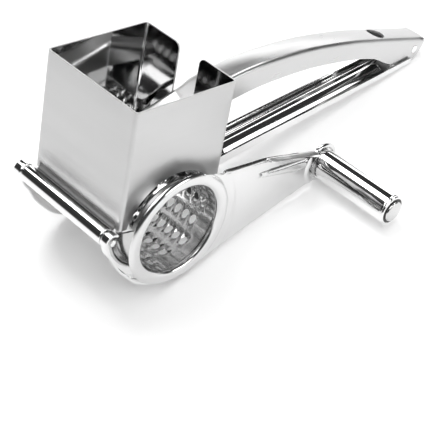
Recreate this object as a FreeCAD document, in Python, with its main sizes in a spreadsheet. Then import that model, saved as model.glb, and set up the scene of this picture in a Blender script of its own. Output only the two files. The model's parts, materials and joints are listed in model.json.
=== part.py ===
import FreeCAD, Part
import math
import os
import Sketcher

# Rotary cheese grater.  Every piece is drawn with the hopper upright and the
# drum's axis along Y through the origin; X runs from the nose hinge to the
# handles.  One common placement then lays the tool down on its resting points.

doc = FreeCAD.newDocument("rotary_grater")
sheet = doc.addObject("Spreadsheet::Sheet", "sizes")


class Size:
    """A number of the sheet together with the expression that reads it."""

    def __init__(self, value, text):
        self.value = value
        self.text = text

    @staticmethod
    def of(other):
        return other if isinstance(other, Size) else Size(float(other), "(%g)" % other)

    def join(self, sign, other, value):
        return Size(value, "(%s %s %s)" % (self.text, sign, other.text))

    def __add__(self, other):
        other = Size.of(other)
        return self.join("+", other, self.value + other.value)

    def __sub__(self, other):
        other = Size.of(other)
        return self.join("-", other, self.value - other.value)

    def __mul__(self, other):
        other = Size.of(other)
        return self.join("*", other, self.value * other.value)

    def __truediv__(self, other):
        other = Size.of(other)
        return self.join("/", other, self.value / other.value)

    def __radd__(self, other):
        return Size.of(other) + self

    def __rsub__(self, other):
        return Size.of(other) - self

    def __rmul__(self, other):
        return Size.of(other) * self

    def __neg__(self):
        return Size.of(0) - self


row_count = 0


def named(alias, value, note=""):
    """Put one size into the sheet and hand it back."""
    global row_count
    row_count += 1
    sheet.set("A%d" % row_count, alias)
    sheet.set("B%d" % row_count, "%g" % value)
    sheet.setAlias("B%d" % row_count, alias)
    sheet.set("C%d" % row_count, note)
    return Size(float(value), "sizes.%s" % alias)


# ---------------------------------------------------------------- driving sizes
sheet_gauge = named("sheet_gauge", 0.8, "hopper sheet")
frame_gauge = named("frame_gauge", 1.0, "handle, cradle and lever sheet")
moving_gap = named("moving_gap", 0.3, "air between moving pieces")
pin_gap = named("pin_gap", 0.05, "radial running gap on pins")

# The drum's radius sets everything that is wrapped round it.
drum_radius = named("drum_radius", 21.7, "drum, outside")
drum_wall = named("drum_wall", 0.7)
bead_radius = named("bead_radius", 1.1, "rolled rim")
tooth_hole = named("tooth_hole", 1.7, "radius of a grating hole")
tooth_pitch = named("tooth_pitch", 5.3, "along the drum")
arch_gap = named("arch_gap", 2.6, "air between drum and side-wall arch")
press_gap = named("press_gap", 4.3, "from drum to press plate")
cradle_depth = named("cradle_depth", 7.3, "from drum to the cradle's rim")
ring_width = named("ring_width", 4.0, "crank ring, beyond the drum")
mouth_lip = named("mouth_lip", 0.4, "crank ring, inside the drum's surface")

# The hopper's width sets the cheeks, the drum's length and the press plate.
hopper_half = named("hopper_half", 27.5, "outer half width")
front_gap = named("front_gap", 6.0, "from drum to the front wall's outer face")
rear_gap = named("rear_gap", 3.2, "from drum to the rear wall's outer face")
hopper_top = named("hopper_top", 60.2)
hopper_bottom = named("hopper_bottom", 5.1)
hopper_corner = named("hopper_corner", 1.8, "bend radius of the corners")
cheek_gap = named("cheek_gap", 0.8, "from the side wall's inner face to a cheek")
plate_gap = named("plate_gap", 1.4, "from the side wall's inner face to the press plate")
rim_width = named("rim_width", 4.4, "how far the cradle's rim stands out sideways")
crank_gap = named("crank_gap", 1.2, "from the cradle's rim to the crank plate")
hopper_front = -(drum_radius + front_gap)
hopper_rear = drum_radius + rear_gap
cheek_inside = hopper_half - sheet_gauge - cheek_gap
plate_half = hopper_half - sheet_gauge - plate_gap
drum_near = -(cheek_inside + rim_width + crank_gap)
drum_far = cheek_inside + rim_width + 0.1
cradle_outer = drum_radius + cradle_depth
plate_radius = drum_radius + press_gap
ring_radius = drum_radius + ring_width
mouth_radius = drum_radius - mouth_lip

barrel_radius = named("barrel_radius", 3.8)
nose_pin_radius = named("nose_pin_radius", 1.5)
leaf_gap = named("leaf_gap", 1.4, "from the barrel to the front wall")
nose_z = named("nose_z", 3.7)
nose_x = hopper_front - leaf_gap - barrel_radius

handle_half = named("handle_half", 8.0)
handle_front_z = named("handle_front_z", -3.9, "underside of the handle at the cradle")
handle_reach = named("handle_reach", 150.1, "from the hopper's rear wall to the handle's bend")
handle_rise = named("handle_rise", 22.1, "height of the bend over the handle's front")
handle_wall = named("handle_wall", 5.0, "height of the handle's side walls")
fork_length = named("fork_length", 21.0)
tab_rise = named("tab_rise", 8.4, "height of the upturned end")
tab_run = named("tab_run", 5.5)
rib_height = named("rib_height", 2.0)
rib_half = named("rib_half", 2.8)
rib_margin = named("rib_margin", 15.0, "from the rib's rear end to the bend")
fork_front = hopper_rear - 0.5
cradle_rear = hopper_rear + 2.1
kink_x = hopper_rear + handle_reach
kink_z = handle_front_z + handle_rise
rib_front = fork_front + fork_length + 4.6
rib_rear = kink_x - rib_margin

pivot_back = named("pivot_back", 1.6, "from the bend to the lever's pin")
pivot_height = named("pivot_height", 7.8, "of the lever's pin over the bend")
pivot_pin_radius = named("pivot_pin_radius", 1.5)
ear_radius = named("ear_radius", 2.8)
pivot_x = kink_x + pivot_back
pivot_z = kink_z + pivot_height

lever_side_gap = named("lever_side_gap", 0.2, "from the lever to the handle's side walls")
neck_half = named("neck_half", 5.8)
lever_depth = named("lever_depth", 10.0)
hang_hole = named("hang_hole", 4.5, "radius of the hanging hole")
hang_back = named("hang_back", 26.6, "from the hanging hole to the lever's pin")
plate_front_gap = named("plate_front_gap", 4.9, "from the front wall to the press plate")
plate_rear_gap = named("plate_rear_gap", 6.1, "from the rear wall to the press plate")
lever_half = handle_half - frame_gauge - lever_side_gap
lever_tip_x = pivot_x + 6.6
lever_tip_z = pivot_z + 4.9
hang_x = pivot_x - hang_back
plate_front = hopper_front + sheet_gauge + plate_front_gap
plate_rear = hopper_rear - sheet_gauge - plate_rear_gap

crank_gauge = named("crank_gauge", 1.2)
boss_x = named("boss_x", 86.1)
boss_z = named("boss_z", 4.3)
boss_radius = named("boss_radius", 9.6)
arm_wall = named("arm_wall", 4.2, "how far the arm's upper edge is turned out")
knob_radius = named("knob_radius", 7.0)
knob_length = named("knob_length", 41.8)
knob_wall = named("knob_wall", 0.8)
axle_radius = named("axle_radius", 3.0)
rivet_radius = named("rivet_radius", 1.6)


# ---------------------------------------------------------------- drawing tools
def bind(item, prop, size):
    """Tie a property to the sheet."""
    item.setExpression(prop, Size.of(size).text)


def new_body(label):
    body = doc.addObject("PartDesign::Body", label)
    body.Label = label
    return body


def sketch_on(body, role, name, offset):
    """A sketch on one of the body's own planes, moved along its normal."""
    sketch = body.newObject("Sketcher::SketchObject", name)
    plane = [item for item in body.Origin.OriginFeatures if item.Role == role][0]
    sketch.AttachmentSupport = [(plane, "")]
    sketch.MapMode = "FlatFace"
    bind(sketch, "AttachmentOffset.Base.z", offset)
    return sketch


def lock(sketch, item, point, corner):
    """Hold one point at a distance from the sketch's origin both ways."""
    for kind, size in (("DistanceX", corner[0]), ("DistanceY", corner[1])):
        size = Size.of(size)
        number = sketch.addConstraint(Sketcher.Constraint(kind, -1, 1, item, point, size.value))
        sketch.setExpression("Constraints[%d]" % number, size.text)


def place(corner):
    """The corner as a vector of plain numbers."""
    return FreeCAD.Vector(Size.of(corner[0]).value, Size.of(corner[1]).value, 0)


def outline(sketch, corners):
    """A closed outline; a corner marked "arc" is one that an arc passes through."""
    count = len(corners)
    number = 0
    while number < count:
        start = corners[number]
        following = corners[(number + 1) % count]
        if len(following) == 3:
            end = corners[(number + 2) % count]
            turn_way = (place(following) - place(start)).cross(place(end) - place(following)).z
            first, last = (start, end) if turn_way > 0 else (end, start)
            item = sketch.addGeometry(Part.Arc(place(first), place(following), place(last)), False)
            lock(sketch, item, 1, first)
            lock(sketch, item, 2, last)
            middle = sketch.addGeometry(Part.Point(place(following)), True)
            lock(sketch, middle, 1, following)
            sketch.addConstraint(Sketcher.Constraint("PointOnObject", middle, 1, item))
            number += 2
        else:
            item = sketch.addGeometry(Part.LineSegment(place(start), place(following)), False)
            lock(sketch, item, 1, start)
            lock(sketch, item, 2, following)
            number += 1


def circle(sketch, centre, radius):
    radius = Size.of(radius)
    item = sketch.addGeometry(Part.Circle(place(centre), FreeCAD.Vector(0, 0, 1), radius.value), False)
    lock(sketch, item, 3, centre)
    number = sketch.addConstraint(Sketcher.Constraint("Radius", item, radius.value))
    sketch.setExpression("Constraints[%d]" % number, radius.text)


def pad(body, sketch, length):
    feature = body.newObject("PartDesign::Pad", sketch.Name + "_pad")
    feature.Profile = sketch
    bind(feature, "Length", length)
    return feature


def pocket(body, sketch, length):
    """Cut from the sketch against its normal, and make sure that it cuts."""
    doc.recompute()
    before = body.Shape.Volume
    feature = body.newObject("PartDesign::Pocket", sketch.Name + "_cut")
    feature.Profile = sketch
    bind(feature, "Length", length)
    doc.recompute()
    if body.Shape.Volume > before - 1e-3:
        raise RuntimeError(feature.Name + " cuts nothing")
    return feature


def side_pad(body, name, corners, low, high):
    """Pad an outline of the XZ plane from y = low to y = high."""
    sketch = sketch_on(body, "XZ_Plane", name, -Size.of(high))
    outline(sketch, corners)
    return pad(body, sketch, Size.of(high) - low)


def side_pocket(body, name, corners, low, high):
    """Cut an outline of the XZ plane from y = low to y = high."""
    sketch = sketch_on(body, "XZ_Plane", name, -Size.of(low))
    outline(sketch, corners)
    return pocket(body, sketch, Size.of(high) - low)


def rod(name, radius, x, z, low, high):
    """A cylinder along Y."""
    item = doc.addObject("Part::Cylinder", name)
    item.Placement = FreeCAD.Placement(FreeCAD.Vector(), FreeCAD.Rotation(FreeCAD.Vector(1, 0, 0), -90))
    bind(item, "Radius", radius)
    bind(item, "Height", Size.of(high) - low)
    bind(item, "Placement.Base.x", x)
    bind(item, "Placement.Base.y", low)
    bind(item, "Placement.Base.z", z)
    return item


def block(name, x, y, z, length, width, height):
    item = doc.addObject("Part::Box", name)
    bind(item, "Length", length)
    bind(item, "Width", width)
    bind(item, "Height", height)
    bind(item, "Placement.Base.x", x)
    bind(item, "Placement.Base.y", y)
    bind(item, "Placement.Base.z", z)
    return item


def cut(label, base, tool):
    item = doc.addObject("Part::Cut", label)
    item.Base = base
    item.Tool = tool
    item.Label = label
    return item


def fuse(label, shapes):
    item = doc.addObject("Part::MultiFuse", label)
    item.Shapes = shapes
    item.Label = label
    return item


pieces = []

# ---------------------------------------------------------------- lower handle
# One pressed channel: a fork that meets both cheeks, a floor with a long rib,
# two low side walls and an upturned end between the lever's cheeks.
slope = handle_rise / (kink_x - fork_front)


def floor_z(x):
    """Underside of the handle at x."""
    return handle_front_z + slope * (x - fork_front)


handle_body = new_body("lower_handle")
fork_half = cheek_inside
fork_rear = fork_front + fork_length
side_pad(handle_body, "handle_floor", [
    (fork_front, handle_front_z),
    (kink_x, kink_z),
    (kink_x + tab_run, kink_z + tab_rise),
    (kink_x + tab_run - frame_gauge * 0.83, kink_z + tab_rise + frame_gauge * 0.55),
    (kink_x - frame_gauge * 0.7, floor_z(kink_x - frame_gauge * 0.7) + frame_gauge),
    (fork_front, handle_front_z + frame_gauge),
], -fork_half, fork_half)
beyond = fork_half + 1
tab_start = kink_x - 0.6
ear_outer = lever_half - frame_gauge - moving_gap
tab_half = ear_outer - frame_gauge
plan = sketch_on(handle_body, "XY_Plane", "handle_plan", hopper_top)
for side in (1, -1):
    outline(plan, [
        (fork_front + 2, side * beyond),
        (fork_front + 2, side * fork_half),
        (fork_rear, side * handle_half),
        (tab_start, side * handle_half),
        (tab_start, side * tab_half),
        (kink_x + 20, side * tab_half),
        (kink_x + 20, side * beyond),
    ])
pocket(handle_body, plan, hopper_top * 2)
wall_corners = [
    (fork_rear - 1, floor_z(fork_rear - 1)),
    (tab_start, floor_z(tab_start)),
    (tab_start, floor_z(tab_start) + handle_wall - 1),
    (fork_rear - 1, floor_z(fork_rear - 1) + handle_wall + 1),
]
side_pad(handle_body, "handle_wall_far", wall_corners, handle_half - frame_gauge, handle_half)
side_pad(handle_body, "handle_wall_near", wall_corners, -handle_half, frame_gauge - handle_half)
side_pad(handle_body, "handle_rib", [
    (rib_front, floor_z(rib_front) + frame_gauge / 2),
    (rib_rear, floor_z(rib_rear) + frame_gauge / 2),
    (rib_rear - rib_height, floor_z(rib_rear) + frame_gauge + rib_height),
    (rib_front + rib_height, floor_z(rib_front) + frame_gauge + rib_height),
], -rib_half, rib_half)
pieces.append(handle_body)

# ---------------------------------------------------------------- cradle cheeks
# A flat cheek at each end of the drum, with a seat for the drum's neck, a rim
# turned outwards along its lower edge and a rolled knuckle at the nose.
seat_radius = drum_radius + moving_gap
knuckle_radius = barrel_radius
half_root = 0.7071
cos_30 = 0.866
front_x, front_z = 0.93, 0.4
chin_back = named("chin_back", 2.6, "from the nose to the cheek's chin")
chin_drop = named("chin_drop", 8.7, "height of the nose over the chin")


def cheek(label, side):
    body = new_body(label)
    inner = cheek_inside
    outer = cheek_inside + frame_gauge
    rim_end = outer + rim_width - frame_gauge
    lower = [
        (nose_x - knuckle_radius * 0.9, nose_z - 1.2),
        (nose_x + chin_back, nose_z - chin_drop),
        (-cradle_outer * front_x, -cradle_outer * front_z),
    ]
    span = (inner, outer) if side > 0 else (-outer, -inner)
    rim_span = (inner, rim_end) if side > 0 else (-rim_end, -inner)
    side_pad(body, label + "_web", lower + [
        (-cradle_outer * half_root, -cradle_outer * half_root, "arc"),
        (0, -cradle_outer),
        (cradle_outer * half_root, -cradle_outer * half_root, "arc"),
        (cradle_outer * cos_30, -cradle_outer / 2),
        (cradle_rear, handle_front_z),
        (cradle_rear, handle_front_z + handle_wall),
        (seat_radius, 0),
        (0, -seat_radius, "arc"),
        (-seat_radius, 0),
        (-seat_radius - 0.4, hopper_bottom - 1),
        (hopper_front - 0.9, hopper_bottom - 1),
        (nose_x + 1, nose_z + knuckle_radius - 0.3),
    ], *span)
    inset = frame_gauge
    rim_radius = cradle_outer - inset
    side_pad(body, label + "_rim", lower + [
        (-cradle_outer * half_root, -cradle_outer * half_root, "arc"),
        (0, -cradle_outer),
        (cradle_outer * half_root, -cradle_outer * half_root, "arc"),
        (cradle_outer * cos_30, -cradle_outer / 2),
        (rim_radius * cos_30, -rim_radius / 2),
        (rim_radius * half_root, -rim_radius * half_root, "arc"),
        (0, -rim_radius),
        (-rim_radius * half_root, -rim_radius * half_root, "arc"),
        (-rim_radius * front_x, -rim_radius * front_z + inset),
        (nose_x + chin_back + inset, nose_z - chin_drop + inset),
        (nose_x - knuckle_radius * 0.9 + inset * 1.5, nose_z - 1.2),
    ], *rim_span)
    knuckle = sketch_on(body, "XZ_Plane", label + "_knuckle", -Size.of(rim_span[1]))
    circle(knuckle, (nose_x, nose_z), knuckle_radius)
    pad(body, knuckle, Size.of(rim_span[1]) - rim_span[0])
    hole = sketch_on(body, "XZ_Plane", label + "_pin_hole", -Size.of(rim_span[0]))
    circle(hole, (nose_x, nose_z), nose_pin_radius)
    pocket(body, hole, Size.of(rim_span[1]) - rim_span[0])
    pieces.append(body)


cheek("cradle_near", -1)
cheek("cradle_far", 1)

# ---------------------------------------------------------------- nose pin
# Riveted over outside both knuckles.
pin_end = cheek_inside + rim_width
head_over = 1.0
head_height = 0.5
pieces.append(fuse("nose_pin", [
    rod("nose_shaft", nose_pin_radius, nose_x, nose_z, -pin_end, pin_end),
    rod("nose_head_near", nose_pin_radius + head_over, nose_x, nose_z, -pin_end - head_height, -pin_end),
    rod("nose_head_far", nose_pin_radius + head_over, nose_x, nose_z, pin_end, pin_end + head_height),
]))

# ---------------------------------------------------------------- pivot bracket
# Two ears welded to the handle's floor, inside the lever's cheeks.
bracket = new_body("pivot_bracket")
ear_foot = pivot_x - 9
ear_rear = kink_x - 0.8
for ear_name, ear_low in (("ear_near", -ear_outer), ("ear_far", ear_outer - frame_gauge)):
    side_pad(bracket, ear_name, [
        (ear_foot, floor_z(ear_foot) + frame_gauge),
        (ear_rear, floor_z(ear_rear) + frame_gauge),
        (pivot_x + 0.4, pivot_z - 2.7),
        (pivot_x + ear_radius * 0.75, pivot_z),
        (pivot_x, pivot_z + ear_radius, "arc"),
        (pivot_x - ear_radius, pivot_z),
    ], ear_low, ear_low + frame_gauge)
side_pad(bracket, "bracket_base", [
    (ear_foot, floor_z(ear_foot) + frame_gauge),
    (ear_rear, floor_z(ear_rear) + frame_gauge),
    (ear_rear, floor_z(ear_rear) + frame_gauge * 2),
    (ear_foot, floor_z(ear_foot) + frame_gauge * 2),
], -ear_outer, ear_outer)
ear_hole = sketch_on(bracket, "XZ_Plane", "ear_hole", ear_outer)
circle(ear_hole, (pivot_x, pivot_z), pivot_pin_radius + pin_gap)
pocket(bracket, ear_hole, ear_outer * 2)
pieces.append(bracket)

# ---------------------------------------------------------------- hopper
# A square chute of bent sheet: arches for the drum in both side walls and a
# full-height slot for the lever's neck in the rear wall.
hopper = new_body("hopper_shell")
box_outer = sketch_on(hopper, "XY_Plane", "chute_outside", hopper_bottom)


def rounded(front, rear, half, radius):
    """A rectangle with round corners."""
    back = radius * (1 - half_root)
    return [
        (front + radius, -half),
        (rear - radius, -half),
        (rear - back, back - half, "arc"),
        (rear, radius - half),
        (rear, half - radius),
        (rear - back, half - back, "arc"),
        (rear - radius, half),
        (front + radius, half),
        (front + back, half - back, "arc"),
        (front, half - radius),
        (front, radius - half),
        (front + back, back - half, "arc"),
    ]


outline(box_outer, rounded(hopper_front, hopper_rear, hopper_half, hopper_corner))
pad(hopper, box_outer, hopper_top - hopper_bottom)
box_inner = sketch_on(hopper, "XY_Plane", "chute_inside", hopper_top)
outline(box_inner, rounded(hopper_front + sheet_gauge, hopper_rear - sheet_gauge,
                           hopper_half - sheet_gauge, hopper_corner - sheet_gauge))
pocket(hopper, box_inner, hopper_top - hopper_bottom)
arch = sketch_on(hopper, "XZ_Plane", "drum_arch", hopper_half)
circle(arch, (0, 0), drum_radius + arch_gap)
pocket(hopper, arch, hopper_half * 2)
slot_half = neck_half + moving_gap + 0.1
slot = sketch_on(hopper, "YZ_Plane", "lever_slot", hopper_rear)
outline(slot, [
    (-slot_half, hopper_bottom - 1),
    (slot_half, hopper_bottom - 1),
    (slot_half, hopper_top + 1),
    (-slot_half, hopper_top + 1),
])
pocket(hopper, slot, sheet_gauge * 2)
pieces.append(hopper)

# Hinge barrel along the foot of the front wall, and the leaf that joins them.
barrel_half = cheek_inside - moving_gap
pieces.append(cut("hinge_barrel",
                  rod("barrel_outside", barrel_radius, nose_x, nose_z, -barrel_half, barrel_half),
                  rod("barrel_bore", nose_pin_radius + pin_gap, nose_x, nose_z, -barrel_half, barrel_half)))
leaf = new_body("hinge_leaf")
leaf_front = nose_x + barrel_radius - 0.15
side_pad(leaf, "leaf_side", [
    (leaf_front, nose_z - 1.2),
    (hopper_front, nose_z - 1.2),
    (hopper_front, nose_z + barrel_radius),
    (leaf_front, nose_z + 1.2),
], -barrel_half + 1, barrel_half - 1)
pieces.append(leaf)

# ---------------------------------------------------------------- press lever
# A pressed channel, open below: straight neck through the slot, arched grip
# with a hanging hole, deep cheeks round the pivot.
neck_reach = 4.0
neck_rise = named("neck_rise", 10.4, "from the neck's front end up to the grip")
neck_top = plate_radius + 4.9
neck_floor = plate_radius + frame_gauge + 0.4
neck_join = hopper_rear + 5.1
join_z = neck_top + neck_rise
neck_slope = neck_rise / (neck_join + neck_reach)
grip_span = lever_tip_x - neck_join
arch_rise = named("arch_rise", 5.3, "height of the grip's top over its front end")
grip_via = (neck_join + grip_span * 0.183, join_z + arch_rise + 0.2)
grip_top = (neck_join + grip_span * 0.435, join_z + arch_rise)
rear_via = (neck_join + grip_span * 0.725, join_z + arch_rise - 6.7)
gauge = frame_gauge
lap = 2.0
lever = new_body("press_lever")
side_pad(lever, "grip_outside", [
    (neck_join, join_z),
    (*grip_via, "arc"),
    grip_top,
    (*rear_via, "arc"),
    (lever_tip_x, lever_tip_z),
    (lever_tip_x - 0.3, lever_tip_z - 1.2),
    (pivot_x + 3.6, pivot_z - 1.5),
    (pivot_x + 1.5, pivot_z - 4.6),
    (pivot_x - 12, pivot_z - 5.3),
    (pivot_x - 27, pivot_z + 1.9),
    (grip_top[0], grip_top[1] - lever_depth),
    (grip_via[0] - 12, grip_via[1] - lever_depth - 3),
    (neck_join, join_z - 10.7),
], -lever_half, lever_half)
side_pocket(lever, "grip_inside", [
    (neck_join, join_z - gauge),
    (grip_via[0], grip_via[1] - gauge, "arc"),
    (grip_top[0], grip_top[1] - gauge),
    (rear_via[0], rear_via[1] - gauge, "arc"),
    (lever_tip_x, lever_tip_z - gauge * 1.1),
    (lever_tip_x + 5, lever_tip_z - 20),
    (neck_join - 5, 10),
    (neck_join - 5, join_z - gauge),
], gauge - lever_half, lever_half - gauge)
side_pad(lever, "neck_outside", [
    (-neck_reach, neck_top),
    (neck_join + lap, join_z + 0.45),
    (neck_join + lap, join_z - 10.1),
    (hopper_rear, join_z - 13.2),
    (neck_reach * 2, neck_floor),
    (-neck_reach, neck_floor),
], -neck_half, neck_half)
side_pocket(lever, "neck_inside", [
    (-neck_reach - 1, neck_top - gauge - neck_slope),
    (neck_join + lap, join_z + 0.45 - gauge * 1.03),
    (neck_join + 3, 10),
    (-9, 10),
], gauge - neck_half, neck_half - gauge)


def arc_centre(first, second, third):
    """Centre of the circle through three corners, as plain numbers."""
    (ax, az), (bx, bz), (cx, cz) = [(place(corner).x, place(corner).y) for corner in (first, second, third)]
    spread = 2 * (ax * (bz - cz) + bx * (cz - az) + cx * (az - bz))
    a_square = ax * ax + az * az
    b_square = bx * bx + bz * bz
    c_square = cx * cx + cz * cz
    x = (a_square * (bz - cz) + b_square * (cz - az) + c_square * (az - bz)) / spread
    z = (a_square * (cx - bx) + b_square * (ax - cx) + c_square * (bx - ax)) / spread
    return x, z


# The hanging hole is punched square to the arched top, so it leans with it.
bend_x, bend_z = arc_centre(grip_top, rear_via, (lever_tip_x, lever_tip_z))
bend_radius = math.hypot(lever_tip_x.value - bend_x, lever_tip_z.value - bend_z)
hang_lean = math.asin((hang_x.value - bend_x) / bend_radius)
hang_z = bend_z + bend_radius * math.cos(hang_lean)
hang_angle = named("hang_angle", math.degrees(hang_lean), "worked out: lean of the hanging hole")
hang_height = named("hang_height", hang_z + 3, "worked out: start of the hanging hole's cut")
hang = sketch_on(lever, "XY_Plane", "hang_hole_circle", hang_height)
hang.AttachmentOffset = FreeCAD.Placement(FreeCAD.Vector(), FreeCAD.Rotation(FreeCAD.Vector(0, 1, 0), 1))
bind(hang, "AttachmentOffset.Rotation.Angle", hang_angle)
bind(hang, "AttachmentOffset.Base.x", hang_x + 3 * math.tan(hang_lean))
circle(hang, (0, 0), hang_hole)
pocket(lever, hang, 3 * frame_gauge + 3)
lever_hole = sketch_on(lever, "XZ_Plane", "lever_pin_hole", lever_half)
circle(lever_hole, (pivot_x, pivot_z), pivot_pin_radius)
pocket(lever, lever_hole, lever_half * 2)
pieces.append(lever)
lever_head_radius = pivot_pin_radius + 0.7
lever_head_height = 0.4
lever_head_end = lever_half + lever_head_height
pieces.append(fuse("lever_pin", [
    rod("lever_shaft", pivot_pin_radius, pivot_x, pivot_z, -lever_half, lever_half),
    rod("lever_head_near", lever_head_radius, pivot_x, pivot_z, -lever_head_end, -lever_half),
    rod("lever_head_far", lever_head_radius, pivot_x, pivot_z, lever_half, lever_head_end),
]))

# Press plate: curved to the drum, hung from the neck by a foot and two rivets.
press = new_body("press_plate")
plate_outer = plate_radius + frame_gauge


def on_circle(radius, x):
    """Height of a circle about the drum's axis at x."""
    height = math.sqrt(radius.value ** 2 - Size.of(x).value ** 2)
    return Size(height, "sqrt((%s)^2 - (%s)^2)" % (radius.text, Size.of(x).text))


side_pad(press, "press_section", [
    (plate_front, on_circle(plate_radius, plate_front)),
    (plate_front, on_circle(plate_outer, plate_front)),
    (0, plate_outer, "arc"),
    (plate_rear, on_circle(plate_outer, plate_rear)),
    (plate_rear, on_circle(plate_radius, plate_rear)),
    (0, plate_radius, "arc"),
], -plate_half, plate_half)
foot_front = -3.0
foot_length = 11.0
foot_half = neck_half - gauge
foot = cut("press_foot",
           block("foot_block", foot_front, -foot_half, plate_radius - 2, foot_length, foot_half * 2,
                 neck_top - gauge - plate_radius + 2),
           rod("foot_hollow", plate_outer, 0, 0, -hopper_half, hopper_half))
pieces.append(press)
pieces.append(foot)
rivet_low = plate_radius - 0.8
rivet_head_over = 0.9
rivet_head_height = 0.8
for label, rivet_x in (("press_rivet_front", 0.0), ("press_rivet_rear", 5.6)):
    shank = doc.addObject("Part::Cylinder", label + "_shank")
    bind(shank, "Radius", rivet_radius)
    bind(shank, "Height", frame_gauge + 3)
    bind(shank, "Placement.Base.x", rivet_x)
    bind(shank, "Placement.Base.z", rivet_low)
    head = doc.addObject("Part::Cone", label + "_head")
    bind(head, "Radius1", rivet_radius)
    bind(head, "Radius2", rivet_radius + rivet_head_over)
    bind(head, "Height", rivet_head_height)
    bind(head, "Placement.Base.x", rivet_x)
    bind(head, "Placement.Base.z", rivet_low - rivet_head_height / 2)
    pieces.append(fuse(label, [shank, head]))

# ---------------------------------------------------------------- grating drum
# A tube with rows of grating holes, open at both ends.
drum = new_body("grating_drum")
tube = sketch_on(drum, "XZ_Plane", "drum_section", -drum_far)
circle(tube, (0, 0), drum_radius)
circle(tube, (0, 0), drum_radius - drum_wall)
pad(drum, tube, drum_far - drum_near)
hole_rows = 12
holes_in_row = 8
row_sketch = sketch_on(drum, "XY_Plane", "hole_row", drum_radius + 1)
row_middle = (drum_near + drum_far) / 2 + 1
for number in range(holes_in_row):
    circle(row_sketch, (0, row_middle + tooth_pitch * (number - (holes_in_row - 1) / 2)), tooth_hole)
row = pocket(drum, row_sketch, drum_wall + 3)
around = drum.newObject("PartDesign::PolarPattern", "hole_rows")
around.Originals = [row]
around.Axis = ([item for item in drum.Origin.OriginFeatures if item.Role == "Y_Axis"][0], [""])
around.Angle = 360
around.Occurrences = hole_rows
drum.Tip = around
pieces.append(drum)

# The rolled rim: a half-round bead seated on the tube's far end.
bead = new_body("drum_rim_bead")
bead_middle = drum_far - bead_radius
bead_section = sketch_on(bead, "XY_Plane", "bead_section", 0)
outline(bead_section, [
    (drum_radius, bead_middle - bead_radius),
    (drum_radius + bead_radius * 1.8, bead_middle, "arc"),
    (drum_radius, bead_middle + bead_radius),
])
bead_turn = bead.newObject("PartDesign::Revolution", "bead_turn")
bead_turn.Profile = bead_section
bead_turn.ReferenceAxis = (bead_section, ["V_Axis"])
bead_turn.Angle = 360
pieces.append(bead)

# ---------------------------------------------------------------- crank plate
# A ring round the drum's mouth drawn out into an arm: upper edge turned out,
# a pressed rib, and a raised boss for the knob's axle.
crank = new_body("crank_plate")
plate_back = drum_near
plate_face = drum_near - crank_gauge
arm_top_ring = (ring_radius * 0.40, ring_radius * 0.9165)
arm_low_ring = (ring_radius * 0.309, -ring_radius * 0.951)
edge_front = (boss_x * 0.54, ring_radius * 0.72)
edge_rear = (boss_x - boss_radius * 0.62, boss_z + boss_radius * 0.7846)
side_pad(crank, "crank_outline", [
    arm_top_ring,
    (ring_radius * 0.82, ring_radius * 0.80),
    edge_front,
    edge_rear,
    (boss_x + boss_radius, boss_z, "arc"),
    (boss_x - boss_radius * 0.6, boss_z - boss_radius * 0.8),
    (boss_x * 0.67, -ring_radius * 0.38),
    arm_low_ring,
    (-ring_radius, 0, "arc"),
], plate_face, plate_back)
boss_rise = 0.8
boss_rim = 1.6
boss_face = plate_face - boss_rise
boss = sketch_on(crank, "XZ_Plane", "boss_disc", -plate_face)
circle(boss, (boss_x, boss_z), boss_radius)
circle(boss, (boss_x, boss_z), boss_radius - boss_rim)
pad(crank, boss, plate_face - boss_face)
side_pad(crank, "arm_rib", [
    (boss_x * 0.44, boss_z + 8.3),
    (boss_x * 0.55, boss_z + 8.5),
    (boss_x - boss_radius + 0.6, boss_z + 3.2),
    (boss_x - boss_radius + 0.4, boss_z - 0.8),
    (boss_x * 0.55, boss_z + 4.5),
], boss_face, plate_face)
side_pad(crank, "arm_edge", [
    edge_front,
    edge_rear,
    (edge_rear[0] - 0.3, edge_rear[1] - frame_gauge),
    (edge_front[0] - 0.2, edge_front[1] - frame_gauge),
], plate_face - arm_wall, plate_face)
mouth = sketch_on(crank, "XZ_Plane", "crank_mouth", -plate_face)
circle(mouth, (0, 0), mouth_radius)
pocket(crank, mouth, crank_gauge)
axle_hole = sketch_on(crank, "XZ_Plane", "axle_hole", -boss_face)
circle(axle_hole, (boss_x, boss_z), axle_radius)
pocket(crank, axle_hole, crank_gauge + 1)
pieces.append(crank)

# ---------------------------------------------------------------- knob
# Fixed axle riveted to the boss, a loose tube round it on two bushes.
washer_gauge = 1.0
washer_face = plate_face - washer_gauge
sleeve_base = washer_face - moving_gap
sleeve_end = sleeve_base - knob_length
head_face = sleeve_end - 1.2
pieces.append(fuse("knob_axle", [
    rod("axle_shaft", axle_radius, boss_x, boss_z, sleeve_end - moving_gap, plate_back),
    rod("axle_head", knob_radius - 1.5, boss_x, boss_z, head_face, sleeve_end - moving_gap),
    rod("axle_foot", axle_radius + 1.5, boss_x, boss_z, plate_back, plate_back + 0.7),
]))
pieces.append(cut("knob_washer",
                  rod("washer_disc", knob_radius - 1, boss_x, boss_z, washer_face, plate_face),
                  rod("washer_bore", axle_radius, boss_x, boss_z, washer_face, plate_face)))
bush_radius = knob_radius - knob_wall
bush_length = 3.0
pieces.append(cut("knob_sleeve",
                  rod("sleeve_outside", knob_radius, boss_x, boss_z, sleeve_end, sleeve_base),
                  rod("sleeve_inside", bush_radius, boss_x, boss_z, sleeve_end, sleeve_base)))
for label, low in (("knob_bush_inner", sleeve_base - bush_length), ("knob_bush_outer", sleeve_end)):
    pieces.append(cut(label,
                      rod(label + "_disc", bush_radius, boss_x, boss_z, low, low + bush_length),
                      rod(label + "_bore", axle_radius + pin_gap, boss_x, boss_z, low, low + bush_length)))

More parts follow.
